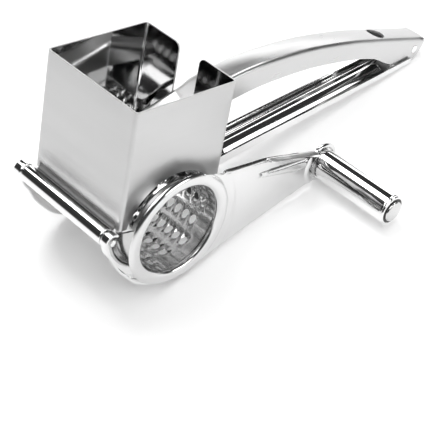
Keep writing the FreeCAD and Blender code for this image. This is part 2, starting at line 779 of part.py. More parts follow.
# ---------------------------------------------------------------- stance
# The tool rests on the round rims of the cradle and on the handle's rear bend,
# so its floor is the line that touches both.
doc.recompute()
reach = math.hypot(kink_x.value, kink_z.value)
tilt = math.atan2(kink_z.value, kink_x.value) + math.asin(cradle_outer.value / reach)
turn = FreeCAD.Rotation(FreeCAD.Vector(0, 1, 0), math.degrees(tilt))
whole = FreeCAD.BoundBox()
for piece in pieces:
    laid = piece.Shape.copy()
    laid.Placement = FreeCAD.Placement(FreeCAD.Vector(), turn)
    whole.add(laid.optimalBoundingBox(True, False))
stance_angle = named("stance_angle", math.degrees(tilt), "worked out: floor line to hopper rim")
stance_x = named("stance_x", -whole.Center.x, "worked out: puts the origin under the middle")
stance_y = named("stance_y", -whole.Center.y)
stance_z = named("stance_z", -whole.ZMin)
for piece in pieces:
    piece.Placement = FreeCAD.Placement(FreeCAD.Vector(), turn)
    bind(piece, "Placement.Rotation.Angle", stance_angle)
    bind(piece, "Placement.Base.x", stance_x)
    bind(piece, "Placement.Base.y", stance_y)
    bind(piece, "Placement.Base.z", stance_z)
doc.recompute()

# ---------------------------------------------------------------- checks and files
for item in doc.Objects:
    if "Invalid" in item.State or "Error" in item.State:
        raise RuntimeError(item.Name + " did not build: " + " ".join(item.State))
for piece in pieces:
    if piece.Shape.isNull() or not piece.Shape.isValid():
        raise RuntimeError(piece.Label + " has no valid shape")
os.makedirs("parts", exist_ok=True)
for piece in pieces:
    piece.Shape.exportStep("parts/" + piece.Label + ".step")
    print(piece.Label, len(piece.Shape.Solids), round(piece.Shape.Volume, 2))
stance = FreeCAD.Placement(FreeCAD.Vector(stance_x.value, stance_y.value, stance_z.value), turn)
for label, x, y, z in (("nose_axis", nose_x, 0, nose_z), ("pivot_axis", pivot_x, 0, pivot_z),
                       ("drum_axis", 0, 0, 0), ("knob_axis", boss_x, sleeve_end, boss_z),
                       ("hang_hole", hang_x, 0, hang_z), ("hang_axis_end", hang_x + 10 * math.sin(hang_lean),
                                                          0, hang_z + 10 * math.cos(hang_lean))):
    spot = stance.multVec(FreeCAD.Vector(Size.of(x).value, Size.of(y).value, Size.of(z).value))
    print("place", label, round(spot.x, 4), round(spot.y, 4), round(spot.z, 4))
print("size", round(whole.XLength, 2), round(whole.YLength, 2), round(whole.ZLength, 2))
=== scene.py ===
import json
import math

import bmesh
import bpy
from mathutils import Matrix, Vector


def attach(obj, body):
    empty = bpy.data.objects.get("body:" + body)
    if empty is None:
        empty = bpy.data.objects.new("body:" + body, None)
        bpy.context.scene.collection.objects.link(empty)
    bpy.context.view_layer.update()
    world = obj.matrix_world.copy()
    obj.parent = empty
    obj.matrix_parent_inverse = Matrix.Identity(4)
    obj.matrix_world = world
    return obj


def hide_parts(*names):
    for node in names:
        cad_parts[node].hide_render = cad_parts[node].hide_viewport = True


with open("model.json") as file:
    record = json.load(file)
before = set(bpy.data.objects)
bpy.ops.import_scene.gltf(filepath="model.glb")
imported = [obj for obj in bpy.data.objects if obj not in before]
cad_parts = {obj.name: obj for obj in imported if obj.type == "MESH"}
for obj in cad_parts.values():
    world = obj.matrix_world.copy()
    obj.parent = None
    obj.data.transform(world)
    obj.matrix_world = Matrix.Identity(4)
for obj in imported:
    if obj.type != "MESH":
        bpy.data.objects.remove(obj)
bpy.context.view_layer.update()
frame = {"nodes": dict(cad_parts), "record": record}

# ------------------------------------------------------------------ how the tool lies
# Everything is drawn in millimetres with the hopper upright and the drum's axis
# along Y through the origin.  The grater lies tipped forward on its cradle rims
# and on the rear bend of the lower handle; lay() takes a drawn point there.
NOSE = Vector((-32.9, 0, 3.7))
PIVOT = Vector((176.6, 0, 26.0))
BOSS = Vector((86.1, 0, 4.3))
hinges = {joint["name"]: Vector(joint["pos_m"]) for joint in frame["record"]["behaviour"]["joints"]}
drum_centre = hinges["drum_spin"]
nose_line = hinges["hopper_swing"] - drum_centre
tilt = math.atan2(NOSE.z, NOSE.x) - math.atan2(nose_line.z, nose_line.x)
stance = Matrix.Translation(drum_centre) @ Matrix.Rotation(tilt, 4, "Y") @ Matrix.Scale(0.001, 4)


def lay(point):
    """A drawn point, in millimetres, as the place where it lies, in metres."""
    return stance @ Vector(point)


# ------------------------------------------------------------------ camera and studio
# A pale table top that glows faintly, soft lights in front, overhead, behind and
# beside, and a dim surround: polished steel then shows bright bands between dark
# gaps.
EYE_AZIMUTH = math.radians(-49.93)
EYE_HEIGHT = math.radians(34.9)
EYE_ROLL = math.radians(11.51)
EYE_DISTANCE = 599.7
EYE_TARGET = Vector((60.34, 0, -36.62))
camera_data = bpy.data.cameras.new("camera")
camera_data.sensor_width = 36
camera_data.lens = 107.4
camera_data.clip_start = 0.01
camera = bpy.data.objects.new("camera", camera_data)
bpy.context.collection.objects.link(camera)
back = Vector((math.sin(EYE_AZIMUTH) * math.cos(EYE_HEIGHT),
               -math.cos(EYE_AZIMUTH) * math.cos(EYE_HEIGHT),
               math.sin(EYE_HEIGHT)))
level = Vector((math.cos(EYE_AZIMUTH), math.sin(EYE_AZIMUTH), 0))
rise = back.cross(level)
right = level * math.cos(EYE_ROLL) + rise * math.sin(EYE_ROLL)
up = rise * math.cos(EYE_ROLL) - level * math.sin(EYE_ROLL)
turn = Matrix.Rotation(tilt, 3, "Y")
axes = Matrix((turn @ right, turn @ up, turn @ back)).transposed()
camera.matrix_world = Matrix.Translation(lay(EYE_TARGET + back * EYE_DISTANCE)) @ axes.to_4x4()
bpy.context.scene.camera = camera


class Shade:
    """A socket of a node tree.  Arithmetic on it adds Math nodes."""

    def __init__(self, finish, socket):
        self.finish = finish
        self.socket = socket

    def join(self, operation, first, second):
        return self.finish.node("ShaderNodeMath", {"operation": operation}, {0: first, 1: second})

    def __add__(self, other):
        return self.join("ADD", self, other)

    def __mul__(self, other):
        return self.join("MULTIPLY", self, other)


class Finish:
    """A node tree that ends in one shader."""

    def __init__(self, owner):
        owner.use_nodes = True
        self.owner = owner
        self.tree = owner.node_tree
        self.tree.nodes.clear()

    def node(self, kind, settings, sockets, out=0):
        """Add a node: its settings first, then the values or links of its sockets."""
        made = self.tree.nodes.new(kind)
        for name, value in settings.items():
            if name == "stops":
                ramp = made.color_ramp
                while len(ramp.elements) < len(value):
                    ramp.elements.new(0.5)
                for element, (place, colour) in zip(ramp.elements, value):
                    element.position = place
                    element.color = colour
            else:
                setattr(made, name, value)
        for name, value in sockets.items():
            if isinstance(value, Shade):
                self.tree.links.new(value.socket, made.inputs[name])
            else:
                made.inputs[name].default_value = value
        return Shade(self, made.outputs[out]) if made.outputs else None

    def place(self):
        """Coordinates that ride with the piece, in metres."""
        return self.node("ShaderNodeTexCoord", {}, {}, "Object")

    def noise(self, where, scale, detail=3.0, stretch=(1, 1, 1)):
        """Cloudy noise from 0 to 1, drawn out along an axis by a small stretch."""
        spread = self.node("ShaderNodeMapping", {}, {"Vector": where, "Scale": stretch})
        return self.node("ShaderNodeTexNoise", {}, {"Vector": spread, "Scale": scale, "Detail": detail})

    def between(self, value, low, high, low_out, high_out):
        """Stretch a value from one range to another, held at both ends."""
        return self.node("ShaderNodeMapRange", {}, {"Value": value, "From Min": low, "From Max": high,
                                                    "To Min": low_out, "To Max": high_out})

    def blend(self, factor, first, second):
        """A colour between two colours."""
        return self.node("ShaderNodeMix", {"data_type": "RGBA"}, {0: factor, 6: first, 7: second}, 2)

    def bump(self, height, strength, distance):
        """Fine relief for the surface's normal; the distance is in metres."""
        return self.node("ShaderNodeBump", {}, {"Height": height, "Strength": strength, "Distance": distance})

    def surface(self, sockets):
        """End the tree in a shader with these sockets."""
        shader = self.node("ShaderNodeBsdfPrincipled", {}, sockets)
        self.node("ShaderNodeOutputMaterial", {}, {"Surface": shader})
        return self.owner


def grey(value):
    """A neutral colour."""
    return (value, value, value, 1)


def plain_piece(name, points, faces):
    """A mesh object of points in metres."""
    mesh = bpy.data.meshes.new(name)
    mesh.from_pydata(points, [], faces)
    piece = bpy.data.objects.new(name, mesh)
    bpy.context.collection.objects.link(piece)
    return piece


TABLE_HALF = 3.0
TABLE_GLOW = 0.18
table = plain_piece("table_top", [(-TABLE_HALF, -TABLE_HALF, 0), (TABLE_HALF, -TABLE_HALF, 0),
                                  (TABLE_HALF, TABLE_HALF, 0), (-TABLE_HALF, TABLE_HALF, 0)], [(0, 1, 2, 3)])
white = Finish(bpy.data.materials.new("white table"))
fleck = white.noise(white.place(), 14)
table.data.materials.append(white.surface({"Base Color": white.blend(fleck, grey(0.90), grey(0.93)),
                                           "Roughness": 0.75, "Specular IOR Level": 0.2,
                                           "Emission Color": grey(1.0), "Emission Strength": TABLE_GLOW}))

world = bpy.data.worlds.new("surround")
bpy.context.scene.world = world
bpy.context.scene.view_settings.view_transform = "Standard"
sky = Finish(world)
direction = sky.node("ShaderNodeTexCoord", {}, {}, "Generated")
height = sky.node("ShaderNodeSeparateXYZ", {}, {"Vector": direction}, "Z")
sky_stops = [(0.0, grey(0.95)), (0.06, grey(0.70)), (0.13, grey(0.06)),
             (0.50, grey(0.03)), (0.80, grey(0.05)), (1.0, grey(0.30))]
sky_colour = sky.node("ShaderNodeValToRGB", {"stops": sky_stops}, {"Fac": height})
sky_shader = sky.node("ShaderNodeBackground", {}, {"Color": sky_colour, "Strength": 1.0})
sky.node("ShaderNodeOutputWorld", {}, {"Surface": sky_shader})


def soft_light(name, place, aim, width, height, power):
    """A rectangular lamp: its place and aim in metres, its power in watts."""
    data = bpy.data.lights.new(name, "AREA")
    data.shape = "RECTANGLE"
    data.size = width
    data.size_y = height
    data.energy = power
    light = bpy.data.objects.new(name, data)
    bpy.context.collection.objects.link(light)
    light.location = place
    light.rotation_euler = (Vector(aim) - Vector(place)).to_track_quat("-Z", "Y").to_euler()


soft_light("light_overhead", (0.12, 0.60, 1.25), (0, 0, 0), 0.70, 0.75, 10)
soft_light("light_low_behind", (1.04, 0.90, 0.38), (0, 0, 0.03), 1.35, 0.46, 4.2)
soft_light("light_beside", (0.90, 0.0, 1.0), (0, 0, 0.03), 0.5, 0.5, 3)
soft_light("light_front", (-0.45, -0.50, 1.45), (0, 0, 0), 1.3, 1.2, 14.5)
soft_light("light_right", (0.55, -1.15, 0.50), (0, 0, 0.03), 0.8, 0.30, 4)

# ------------------------------------------------------------------ hopper shell
# A square chute folded from one 0.8 mm sheet whose two ends leave a slot for the
# lever's neck, brushed outside and polished inside.  Its side walls arch over
# the drum, and it swings on the nose pin.
FRONT, REAR, HALF = -27.7, 24.9, 27.5
TOP, FOOT = 60.2, 5.1
SHEET = 0.8
CORNER = 1.8
ARCH = 24.3
SLOT = 6.2
SLOT_ROUND = 3.2
FRONT_INSET, REAR_INSET = 3, 2
WELD_REACH, SLIVER = 2e-6, 1e-7


class Surface:
    """Drawn points and the faces between them."""

    def __init__(self):
        self.points = []
        self.faces = []

    def rows(self, rows, around=False):
        """Quads between rows of points; around closes every row on itself."""
        start = len(self.points)
        count = len(rows[0])
        for row in rows:
            self.points.extend(row)
        for line in range(len(rows) - 1):
            for spot in range(count if around else count - 1):
                first = start + line * count + spot
                second = start + line * count + (spot + 1) % count
                self.faces.append((first, second, second + count, first + count))

    def piece(self, name, flip=False):
        """One mesh object of the faces, laid in place and joined where they meet."""
        faces = [face[::-1] for face in self.faces] if flip else self.faces
        piece = plain_piece(name, [lay(point) for point in self.points], faces)
        mesh = bmesh.new()
        mesh.from_mesh(piece.data)
        bmesh.ops.remove_doubles(mesh, verts=mesh.verts, dist=WELD_REACH)
        bmesh.ops.dissolve_degenerate(mesh, edges=mesh.edges, dist=SLIVER)
        for face in mesh.faces:
            face.smooth = True
        mesh.to_mesh(piece.data)
        mesh.free()
        return piece


def thicken(piece, gauge, offset=-1.0, even=True):
    """Give a sheet its gauge, in millimetres: behind its faces, or before them at offset 1."""
    solid = piece.modifiers.new("gauge", "SOLIDIFY")
    solid.thickness = gauge / 1000
    solid.offset = offset
    solid.use_even_offset = even


def soften(piece, width, angle=38):
    """Break the edges sharper than an angle, by a width in millimetres."""
    bevel = piece.modifiers.new("broken edges", "BEVEL")
    bevel.width = width / 1000
    bevel.segments = 2
    bevel.limit_method = "ANGLE"
    bevel.angle_limit = math.radians(angle)
    shading = piece.modifiers.new("flat stays flat", "WEIGHTED_NORMAL")
    shading.keep_sharp = True


def place_piece(piece, material, body, slot, *nodes):
    """Finish a piece: its material, its body and the CAD nodes it stands for. The slot is not used."""
    piece.data.materials.append(material)
    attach(piece, body)
    if nodes:
        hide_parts(*nodes)


def steps(first, last, count):
    """Evenly spaced values, both ends among them."""
    return [first + (last - first) * number / (count - 1) for number in range(count)]


def arc(centre, radius, first, last, count):
    """Points on an arc, angles in degrees."""
    return [(centre[0] + radius * math.cos(math.radians(angle)),
             centre[1] + radius * math.sin(math.radians(angle))) for angle in steps(first, last, count)]


def hopper_plan():
    """The sheet's path seen from above, from one edge of the slot round to the other."""
    arch_end = math.sqrt(ARCH ** 2 - FOOT ** 2)
    arch_places = [arch_end * math.cos(math.radians(angle)) for angle in steps(0, 180, 61)]
    path = [(REAR, -y) for y in [SLOT + SLOT_ROUND * (1 - math.cos(math.radians(angle)))
                                 for angle in steps(0, 90, 7)]]
    path += [(REAR, -y) for y in steps(SLOT + SLOT_ROUND + REAR_INSET, HALF - CORNER - REAR_INSET, 6)]
    path += arc((REAR - CORNER, CORNER - HALF), CORNER, 0, -90, 7)
    path += [(x, -HALF) for x in arch_places if x < REAR - CORNER - 0.2]
    path += arc((FRONT + CORNER, CORNER - HALF), CORNER, 270, 180, 7)
    path += [(FRONT, y) for y in steps(FRONT_INSET - HALF, HALF - FRONT_INSET, 12)]
    path += [(x, -y) for x, y in reversed(path[:path.index((FRONT, FRONT_INSET - HALF))])]
    return path


def wall_foot(x, y):
    """Lower edge of the wall: level at front and back, arched at the sides."""
    if abs(y) > HALF - CORNER and abs(x) < ARCH:
        return max(FOOT, math.sqrt(ARCH ** 2 - x ** 2))
    return FOOT


def wall_top(x, y):
    """Upper edge of the wall: level, rounded down at the slot."""
    reach = SLOT + SLOT_ROUND - abs(y)
    if x > 0 and 0 < reach:
        return TOP - SLOT_ROUND + math.sqrt(max(0.0, SLOT_ROUND ** 2 - reach ** 2))
    return TOP


hopper = Surface()
hopper.rows([[(x, y, wall_foot(x, y) + share * (wall_top(x, y) - wall_foot(x, y)))
              for x, y in hopper_plan()] for share in steps(0, 1, 13)])
hopper_sheet = hopper.piece("hopper_sheet", flip=True)
thicken(hopper_sheet, SHEET)
soften(hopper_sheet, 0.18)


def polished(name, tone=0.86, rough=0.06, haze=0.10, wave=0.00006):
    """Buffed stainless steel: faint pressed waves, hazy smudges and hairline scratches."""
    finish = Finish(bpy.data.materials.new(name))
    here = finish.place()
    smudge = finish.noise(here, 38, 5)
    waves = finish.noise(here, 30, 1)
    hair = finish.noise(here, 1500, 2, (0.04, 1.0, 0.06))
    cloud = finish.noise(here, 90, 2)
    return finish.surface({
        "Base Color": finish.blend(smudge, grey(tone - 0.03), grey(tone + 0.03)),
        "Metallic": 1.0,
        "Roughness": finish.between(smudge * 0.7 + cloud * 0.3, 0.35, 0.75, rough, haze),
        "Normal": finish.bump(waves + hair * 0.03, 0.5, wave)})


brushed = Finish(bpy.data.materials.new("brushed hopper sheet"))
here = brushed.place()
upright = brushed.node("ShaderNodeVectorRotate", {"rotation_type": "Y_AXIS"},
                       {"Vector": here, "Center": tuple(drum_centre), "Angle": -tilt})
lines = brushed.noise(upright, 900, 6, (0.035, 0.035, 1.0))
long_lines = brushed.noise(upright, 260, 4, (0.03, 0.03, 1.0))
clouds = brushed.noise(upright, 22, 3)
place_piece(hopper_sheet, brushed.surface({
    "Base Color": brushed.blend(clouds, grey(0.53), grey(0.60)), "Metallic": 1.0,
    "Roughness": brushed.between(long_lines + clouds * 0.3, 0.3, 0.9, 0.26, 0.40),
    "Normal": brushed.bump(lines * 0.6 + long_lines * 0.4, 0.25, 0.00008)}),
            "hopper", "brushed_hopper", "hopper_shell")
# The sheet's inner face keeps its mill polish.
hopper_sheet.data.materials.append(polished("polished hopper lining", 0.62, 0.04, 0.10, 0.00010))
hopper_sheet.modifiers["gauge"].material_offset = 1

# ------------------------------------------------------------------ hinge barrel
# A polished tube that runs the width of the hopper's foot on the nose pin.  The
# wall's lower edge is folded out into a narrow leaf welded along the tube.
BARREL = 3.8
BARREL_HALF = 25.6
PIN = 1.5
PIN_PLAY = 0.1
LEAF_INSET = 1.2
LEAF_GAUGE = 0.6


def turned(profile, centre, around=72):
    """A body of revolution about a line along Y, from (radius, y) points."""
    made = Surface()
    made.rows([[(centre.x + radius * math.cos(angle), y, centre.z + radius * math.sin(angle))
                for angle in steps(0, 2 * math.pi, around + 1)[:-1]] for radius, y in profile], around=True)
    return made


def both_ends(side):
    """A profile from its near end to its middle, and on to the same far end."""
    return side + [(radius, -y) for radius, y in reversed(side[:-1])]


barrel_side = [(PIN + PIN_PLAY, -BARREL_HALF), (BARREL - 0.9, -BARREL_HALF),
               (BARREL - 0.25, 0.12 - BARREL_HALF), (BARREL, 0.5 - BARREL_HALF), (BARREL, 0)]
barrel_tube = turned(both_ends(barrel_side) + [barrel_side[0]], NOSE).piece("hinge_tube")
soften(barrel_tube, 0.1)
place_piece(barrel_tube, polished("polished tube"), "hopper", "polished_steel", "hinge_barrel")

leaf_side = [(FRONT - 0.02, 8.3), (FRONT - 0.1, 7.0), (FRONT - 0.45, 5.9), (FRONT - 1.0, 5.2),
             (FRONT - 1.7, 4.9)]
leaf = Surface()
leaf.rows([[(x, y, z) for y in steps(LEAF_INSET - BARREL_HALF, BARREL_HALF - LEAF_INSET, 25)]
           for x, z in leaf_side])
leaf_strip = leaf.piece("hinge_leaf_strip")
thicken(leaf_strip, LEAF_GAUGE)
soften(leaf_strip, 0.1)
# The leaf's steel is made nearly black (tone 0.20) as painted shade: it stands for the shadowed gap between
# the wall's foot and the tube.
place_piece(leaf_strip, polished("leaf steel darkened as painted shade", 0.20, 0.34, 0.46), "hopper", "brushed_hopper", "hinge_leaf")

# ------------------------------------------------------------------ cradle cheeks
# One pressed cheek at each end of the drum: a flat web with a round seat, its
# lower edge turned outwards as a rim that runs up and curls round the nose pin.
CHEEK = 25.9
RIM_OUT = 30.2
SEAT = 22.0
CRADLE = 29.0
KNUCKLE = 3.8
CHEEK_REAR = 26.9
CHEEK_GAUGE = 0.95
RIM_BEND = 1.3
RIM_FADE, RIM_LEAST = 7, 0.08
WEB_X = NOSE.x + 4.3


def curve(corners, count):
    """A smooth path through corners (Catmull-Rom), evenly divided between them."""
    ends = [corners[0]] + list(corners) + [corners[-1]]
    path = []
    for number in range(1, len(ends) - 2):
        before, first, last, after = ends[number - 1:number + 3]
        for share in steps(0, 1, count + 1)[:-1]:
            path.append(tuple(
                0.5 * (2 * b + (c - a) * share + (2 * a - 5 * b + 4 * c - d) * share ** 2
                       + (3 * b - a - 3 * c + d) * share ** 3)
                for a, b, c, d in zip(before, first, last, after)))
    return path + [tuple(corners[-1])]


def between(first, last, share):
    """The point at a share of the way from one point to another."""
    return tuple(a + (b - a) * share for a, b in zip(first, last))


nose_spot = (NOSE.x, NOSE.z)
curl = arc(nose_spot, KNUCKLE, 40, 212, 18)
front_edge = curve([curl[-1], (-34.6, -2.6), (-31.6, -6.4), (-28.6, -11.6), (-25.0, -15.9),
                    (-20.5, -20.5)], 6)
belly = arc((0, 0), CRADLE, 225, 330, 40)
back_edge = curve([belly[-1], (CHEEK_REAR, -11.5), (CHEEK_REAR + 0.1, -4.0)], 5)
outline = curl[:-1] + front_edge[:-1] + belly[:-1] + back_edge
inner_curl = [between(nose_spot, (WEB_X, NOSE.z + 0.6), share)
              for share in steps(0, 1, len(curl))][:-1]
inner_front = [between((WEB_X, NOSE.z + 0.4), (-SEAT, 2.4), share)
               for share in steps(0, 1, len(front_edge))][:-1]
inner_seat = arc((0, 0), SEAT + 0.05, 174, 358, len(belly))[:-1]
inner_back = [between(inner_seat[-1], (CHEEK_REAR, 0.9), share) for share in steps(0, 1, len(back_edge))]
inline = inner_curl + inner_front + inner_seat + inner_back


def cheek_rows(side):
    """Rows from the seat out over the web, round the bend and along the rim."""
    rows = [[(x, side * CHEEK, z) for x, z in inline]]
    for share in (0.25, 0.5, 0.75):
        rows.append([(x, side * CHEEK, z) for x, z in
                     [between(a, b, share) for a, b in zip(inline, outline)]])
    for angle in steps(0, 90, 6):
        drop = RIM_BEND * (1 - math.sin(math.radians(angle)))
        out = RIM_BEND * (1 - math.cos(math.radians(angle)))
        row = []
        for number, (x, z) in enumerate(outline):
            before = Vector(outline[max(0, number - 1)])
            after = Vector(outline[min(len(outline) - 1, number + 1)])
            along = (after - before).normalized()
            row.append((x - along.y * drop, side * (CHEEK + out), z + along.x * drop))
        rows.append(row)
    for share in (0.35, 0.7, 1.0):
        rows.append([(x, side * (CHEEK + RIM_BEND + share * (RIM_OUT - CHEEK - RIM_BEND)
                                 * min(1.0, max(RIM_LEAST, (len(outline) - 1 - number) / RIM_FADE))), z)
                     for number, (x, z) in enumerate(outline)])
    return rows


cheek_steel = polished("pressed cheek steel", 0.86, 0.08, 0.16, 0.00012)
for name, side in (("near", -1), ("far", 1)):
    cheek = Surface()
    cheek.rows(cheek_rows(side))
    cheek_piece = cheek.piece("cradle_cheek_" + name, flip=side > 0)
    thicken(cheek_piece, CHEEK_GAUGE, even=False)
    soften(cheek_piece, 0.2)
    place_piece(cheek_piece, cheek_steel, "frame", "polished_steel", "cradle_" + name)

# The nose pin is riveted over in a low dome outside each cheek's curl.
nose_pin_side = [(0.01, -30.75), (0.8, -30.72), (1.4, -30.6), (1.65, -30.3), (PIN, -30.25), (PIN, 0)]
nose_pin = turned(both_ends(nose_pin_side), NOSE, 48).piece("nose_rivet")
place_piece(nose_pin, polished("rivet steel", 0.82, 0.12, 0.2), "frame", "polished_steel", "nose_pin")

# ------------------------------------------------------------------ lower handle
# A channel pressed from 1 mm sheet and mirror polished: its front spreads into a
# fork between the cheeks, a long round-ended rib stiffens the floor, and the end
# is turned up between the lever's cheeks.
FORK_X, FORK_Z = 24.4, -3.9
KINK_X, KINK_Z = 175.0, 18.2
FORK_END = 46.0
CHANNEL = 8.0
RIB_FRONT, RIB_REAR = 52.0, 160.0
RIB_HALF, RIB_RISE = 3.0, 2.1
RIB_ENDS = 3.5
FLOOR_BEND = 2.3
CHANNEL_GAUGE = 1.0
WALL, WALL_FALL = 6.0, 1.7
WALL_FALL_START, WALL_FALL_RUN = 50, 110
TAB, TAB_ROUND = 4.3, 0.09
fall = math.atan2(KINK_Z - FORK_Z, KINK_X - FORK_X)


def smooth(share):
    """A gentle step from 0 to 1."""
    share = min(1.0, max(0.0, share))
    return share * share * (3 - 2 * share)


def channel_half(x):
    """Half width of the channel: wide at the fork, then even."""
    spread = 1 - smooth((x - FORK_X - 1.5) / (FORK_END - FORK_X - 1.5))
    return CHANNEL + (CHEEK - CHANNEL) * spread


def channel_wall(x):
    """Height of the side walls, falling a little towards the rear."""
    return WALL - WALL_FALL * smooth((x - WALL_FALL_START) / WALL_FALL_RUN)


def rib_rise(x, y):
    """Height of the floor's rib: a long bar with round ends."""
    past = max(RIB_FRONT + RIB_HALF - x, 0, x - RIB_REAR + RIB_HALF)
    reach = math.hypot(past, y) / RIB_HALF
    return RIB_RISE * smooth((1 - reach) / 0.55)


def channel_section(x, half, wall):
    """Points across the channel from the near wall's top to the far one's."""
    side = [(-half - 0.05, wall), (-half - 0.02, (wall + FLOOR_BEND) / 2 + 0.1), (-half, FLOOR_BEND + 0.2)]
    side += [(y - half + FLOOR_BEND, z + FLOOR_BEND) for y, z in arc((0, 0), FLOOR_BEND, 180, 270, 7)]
    flat = [-(half - FLOOR_BEND) + (half - FLOOR_BEND - RIB_HALF - 0.6) * share for share in (0.5, 1.0)]
    side += [(y, rib_rise(x, y)) for y in flat + steps(-RIB_HALF, 0, 9)]
    return side + [(-y, z) for y, z in reversed(side[:-1])]


stations = [(FORK_X, 16), (FORK_END, 4), (RIB_FRONT - 0.5, 9), (RIB_FRONT + RIB_ENDS, 26),
            (RIB_REAR - RIB_ENDS, 9), (RIB_REAR + 0.5, 5), (KINK_X - 0.7, 0)]
channel_stations = []
for (first, count), (last, _) in zip(stations, stations[1:]):
    channel_stations += steps(first, last, count)[:-1]
channel_stations.append(stations[-1][0])
channel = Surface()
channel_rows = []
for x in channel_stations:
    base_z = FORK_Z + (x - FORK_X) * math.tan(fall)
    channel_rows.append([(x - z * math.sin(fall), y, base_z + z * math.cos(fall))
                         for y, z in channel_section(x, channel_half(x), channel_wall(x))])
channel.rows(channel_rows)
tab_path = [(KINK_X - 0.75, KINK_Z - 0.12)]
tab_path += curve([(KINK_X - 0.4, KINK_Z - 0.05), (KINK_X + 0.9, KINK_Z + 1.0),
                   (KINK_X + 3.1, KINK_Z + 4.5), (KINK_X + 4.9, KINK_Z + 7.4)], 5)
tab_rows = []
for number, (x, z) in enumerate(tab_path):
    tip_row = max(0, number - len(tab_path) + 4)
    tab_rows.append([(x, y * (1 - TAB_ROUND * tip_row ** 2), z) for y in steps(-TAB, TAB, 9)])
channel.rows(tab_rows)
channel_piece = channel.piece("lower_channel")
thicken(channel_piece, CHANNEL_GAUGE)
soften(channel_piece, 0.25)
place_piece(channel_piece, polished("mirror channel steel", 0.88, 0.045, 0.09, 0.00008),
            "frame", "polished_steel", "lower_handle")

# ------------------------------------------------------------------ pivot bracket
# Two ears on a base, welded to the channel's floor; the lever's pin runs through
# them.  The plain part carries over and only gets its steel.


def keep_part(name, material):
    """Let the plain part carry over, in a material."""
    part = frame["nodes"][name]
    part.data.materials.clear()
    part.data.materials.append(material)


keep_part("pivot_bracket", polished("bracket steel", 0.80, 0.16, 0.26))

# ------------------------------------------------------------------ press lever
# An arched grip pressed from 1 mm sheet, open below, with round shoulders; its
# front end narrows to a neck that enters the hopper, its cheeks deepen at the
# rear round the pin, and a hanging hole is punched near the end.
LEVER_TOP = [(-4.0, 30.9), (11.0, 35.2), (24.9, 39.7), (36.0, 43.0), (45.6, 45.1), (58.0, 46.8),
             (72.0, 47.4), (96.6, 46.6), (123.6, 43.2), (141.0, 39.9), (153.6, 37.3), (168.0, 34.2),
             (177.0, 32.2), (183.2, 30.9)]
LEVER_DEPTH = [(-4.0, 3.5), (8.0, 7.2), (24.9, 11.6), (32.0, 11.4), (46.0, 11.8), (70.0, 11.0), (96.6, 10.1),
               (123.6, 9.6), (142.0, 9.9), (149.0, 11.2), (156.0, 13.2), (164.0, 14.2), (172.0, 12.8),
               (178.4, 10.2), (181.0, 6.8), (183.2, 1.8)]
NECK, GRIP = 5.8, 6.8
NECK_END, GRIP_START = 27.0, 34.0
SHOULDER = 2.4
CROWN = 0.35
HANG_X, HANG_R = 150.0, 4.5
HANG_NEAR = 6.0
CHEEK_CLEAR, SNAP_REACH = 0.002, 1.4
LEVER_GAUGE = 1.0


def reading(corners, x):
    """Height of a smooth line through corners at x."""
    line = curve(corners, 8)
    for (x_low, z_low), (x_high, z_high) in zip(line, line[1:]):
        if x <= x_high:
            return z_low + (z_high - z_low) * (x - x_low) / (x_high - x_low)
    return line[-1][1]


def lever_section(x):
    """Points over the lever from the near cheek's edge to the far one's."""
    top = reading(LEVER_TOP, x)
    depth = reading(LEVER_DEPTH, x)
    half = NECK + (GRIP - NECK) * smooth((x - NECK_END) / (GRIP_START - NECK_END))
    shoulder = min(SHOULDER, depth * 0.6)
    crown = CROWN * smooth((x - GRIP_START) / 12)
    side = [(-half, -depth + (depth - shoulder) * share) for share in steps(0, 1, 6)[:-1]]
    side += [(y - half + shoulder, z - shoulder) for y, z in arc((0, 0), shoulder, 180, 90, 8)]
    side += [(y, crown * (1 - (y / (half - shoulder)) ** 2)) for y in steps(shoulder - half, 0, 6)[1:]]
    half_section = [(y, z - crown) for y, z in side]
    whole = half_section + [(-y, z) for y, z in reversed(half_section[:-1])]
    return [(x, y, top + z) for y, z in whole]


lever = Surface()
lever.rows([lever_section(x) for x in steps(LEVER_TOP[0][0], GRIP_START, 20)[:-1]
            + steps(GRIP_START, HANG_X - HANG_NEAR, 44)[:-1]
            + steps(HANG_X - HANG_NEAR, HANG_X + HANG_NEAR, 21)[:-1]
            + steps(HANG_X + HANG_NEAR, LEVER_TOP[-1][0], 20)])
lever_piece = lever.piece("press_lever_grip", flip=True)
punch_spot = lay((HANG_X, 0, reading(LEVER_TOP, HANG_X)))
punch_slope = math.atan((reading(LEVER_TOP, HANG_X + 3) - reading(LEVER_TOP, HANG_X - 3)) / 6)
punch_axis = (lay((-math.sin(punch_slope), 0, math.cos(punch_slope))) - lay((0, 0, 0))).normalized()
punched = bmesh.new()
punched.from_mesh(lever_piece.data)


def off_axis(point):
    """From the punch's axis to a point; far away for points low on the cheeks."""
    offset = point - punch_spot
    depth = offset.dot(punch_axis)
    return offset - punch_axis * depth if depth > -CHEEK_CLEAR else Vector((1, 0, 0))


cut_out = [face for face in punched.faces if off_axis(face.calc_center_median()).length < HANG_R / 1000]
bmesh.ops.delete(punched, geom=cut_out, context="FACES")
for vertex in punched.verts:
    reach = off_axis(vertex.co)
    if vertex.is_boundary and reach.length < SNAP_REACH * HANG_R / 1000:
        vertex.co += reach.normalized() * HANG_R / 1000 - reach
punched.to_mesh(lever_piece.data)
punched.free()
thicken(lever_piece, LEVER_GAUGE)
soften(lever_piece, 0.2)

satin = Finish(bpy.data.materials.new("satin lever steel"))
here = satin.place()
along = satin.noise(here, 800, 5, (0.03, 1.0, 0.6))
haze = satin.noise(here, 30, 3)
place_piece(lever_piece, satin.surface({
    "Base Color": satin.blend(haze, grey(0.55), grey(0.62)), "Metallic": 1.0,
    "Roughness": satin.between(along * 0.5 + haze * 0.5, 0.3, 0.75, 0.26, 0.38),
    "Normal": satin.bump(along, 0.15, 0.00005)}), "lever", "satin_lever", "press_lever")

